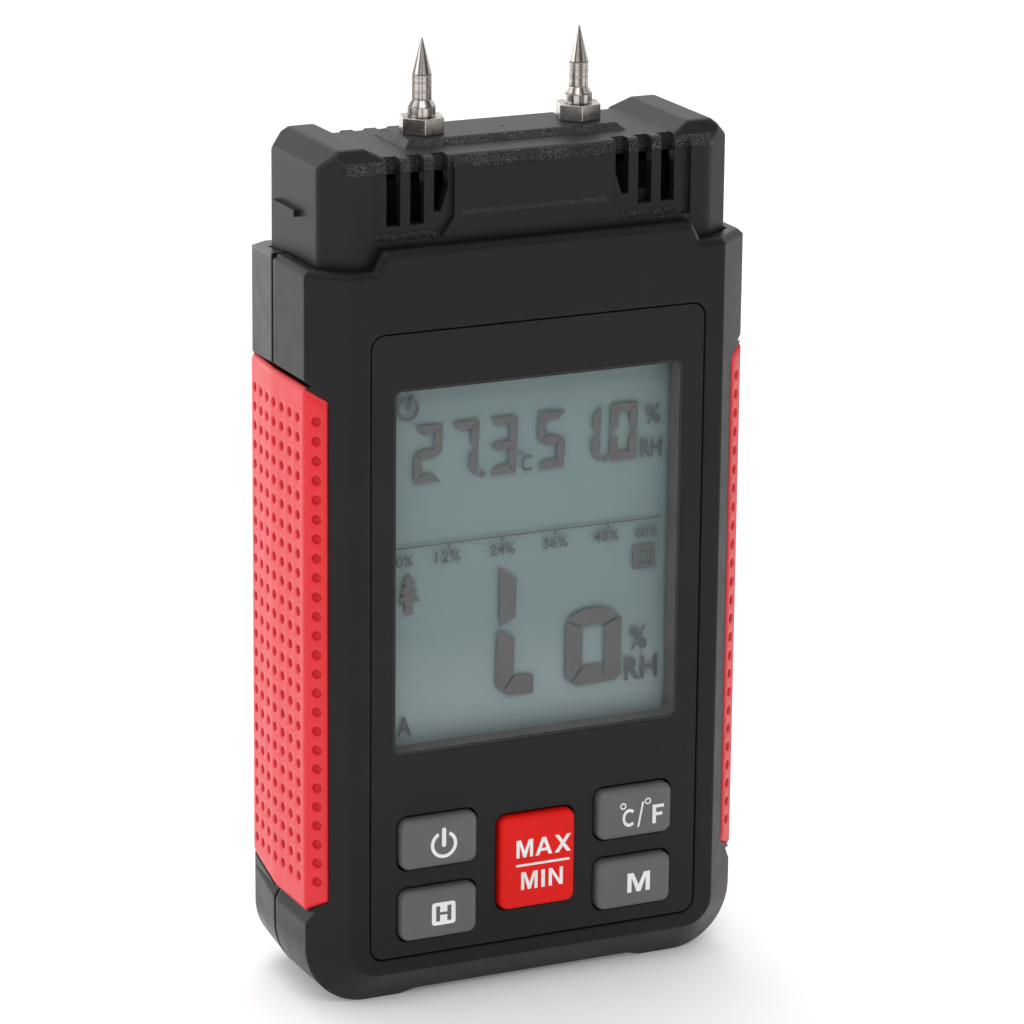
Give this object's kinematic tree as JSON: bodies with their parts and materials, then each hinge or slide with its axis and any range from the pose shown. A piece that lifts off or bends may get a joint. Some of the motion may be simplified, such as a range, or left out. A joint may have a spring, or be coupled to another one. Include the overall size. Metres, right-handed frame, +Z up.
{
  "type": "pin moisture meter",
  "caption": "Hand-held pin moisture meter: two-part housing with display and keys, side grips and a vented sensor head carrying two pointed probes.",
  "frame": {"origin": "middle of the footprint, on the plane that the two feet stand on", "axes": "+Z up along the body towards the probes, the display faces -Y, +X is the viewer's right"},
  "size_m": [0.0702, 0.0314, 0.1421],
  "materials": {
    "shell_plastic": "fine moulded grain",
    "head_plastic": "fine moulded grain, coarser on the vent edges",
    "grip_rubber": "soft dimpled elastomer",
    "panel_gloss": "smooth semi-gloss",
    "frame_plastic": "smooth satin",
    "window_acrylic": "clear",
    "display_surface": "reflective display with dark segments",
    "backlight_plastic": "white diffuser",
    "strip_rubber": "layered conductive rubber",
    "mat_rubber": "moulded rubber",
    "board_laminate": "green solder mask",
    "chip_plastic": "moulded epoxy",
    "screw_steel": "zinc plated",
    "battery_sleeve": "printed sleeve without marks",
    "contact_nickel": "nickel plated sheet",
    "electrode_nickel": "turned, nickel plated",
    "strap_brass": "stamped sheet",
    "key_grey": "smooth matt silicone with light marks",
    "key_red": "smooth matt silicone with light marks"
  },
  "bodies": {
    "housing": {"front_shell": "shell_plastic", "rear_shell": "shell_plastic", "left_grip": "grip_rubber", "right_grip": "grip_rubber", "sensor_head": "head_plastic", "front_panel": "panel_gloss", "window_frame": "frame_plastic", "display_window": "window_acrylic", "display_glass": "display_surface", "backlight_panel": "backlight_plastic", "lower_contact_strip": "strip_rubber", "upper_contact_strip": "strip_rubber", "keypad_mat": "mat_rubber", "main_board": "board_laminate", "processor_chip": "chip_plastic", "buzzer": "chip_plastic", "air_sensor_board": "board_laminate", "air_sensor": "chip_plastic", "board_screws": "screw_steel", "case_screws": "screw_steel", "battery_1": "battery_sleeve", "battery_2": "battery_sleeve", "battery_3": "battery_sleeve", "lower_battery_contacts": "contact_nickel", "upper_battery_contacts": "contact_nickel", "left_electrode_post": "electrode_nickel", "left_electrode_nut": "contact_nickel", "left_contact_strap": "strap_brass", "right_electrode_post": "electrode_nickel", "right_electrode_nut": "contact_nickel", "right_contact_strap": "strap_brass"},
    "power_key": {"power_key": "key_grey"},
    "hold_key": {"hold_key": "key_grey"},
    "max_min_key": {"max_min_key": "key_red"},
    "unit_key": {"unit_key": "key_grey"},
    "mode_key": {"mode_key": "key_grey"},
    "battery_cover": {"battery_cover": "shell_plastic"},
    "left_probe": {"left_probe_pin": "electrode_nickel"},
    "right_probe": {"right_probe_pin": "electrode_nickel"}
  },
  "joints": [
    {"name": "power_key_press", "type": "slide", "parent": "housing", "child": "power_key", "axis": [0, 1, 0], "range_m": [0, 0.001], "stiffness_N_per_m": 600, "springref_m": -0.0006},
    {"name": "hold_key_press", "type": "slide", "parent": "housing", "child": "hold_key", "axis": [0, 1, 0], "range_m": [0, 0.001], "stiffness_N_per_m": 600, "springref_m": -0.0006},
    {"name": "max_min_key_press", "type": "slide", "parent": "housing", "child": "max_min_key", "axis": [0, 1, 0], "range_m": [0, 0.001], "stiffness_N_per_m": 600, "springref_m": -0.0006},
    {"name": "unit_key_press", "type": "slide", "parent": "housing", "child": "unit_key", "axis": [0, 1, 0], "range_m": [0, 0.001], "stiffness_N_per_m": 600, "springref_m": -0.0006},
    {"name": "mode_key_press", "type": "slide", "parent": "housing", "child": "mode_key", "axis": [0, 1, 0], "range_m": [0, 0.001], "stiffness_N_per_m": 600, "springref_m": -0.0006},
    {"name": "battery_cover_slide", "type": "slide", "parent": "housing", "child": "battery_cover", "axis": [0, 0, -1], "range_m": [0, 0.056]},
    {"name": "left_probe_removal", "type": "slide", "parent": "housing", "child": "left_probe", "axis": [0, 0, 1], "range_m": [0, 0.012]},
    {"name": "right_probe_removal", "type": "slide", "parent": "housing", "child": "right_probe", "axis": [0, 0, 1], "range_m": [0, 0.012]}
  ]
}
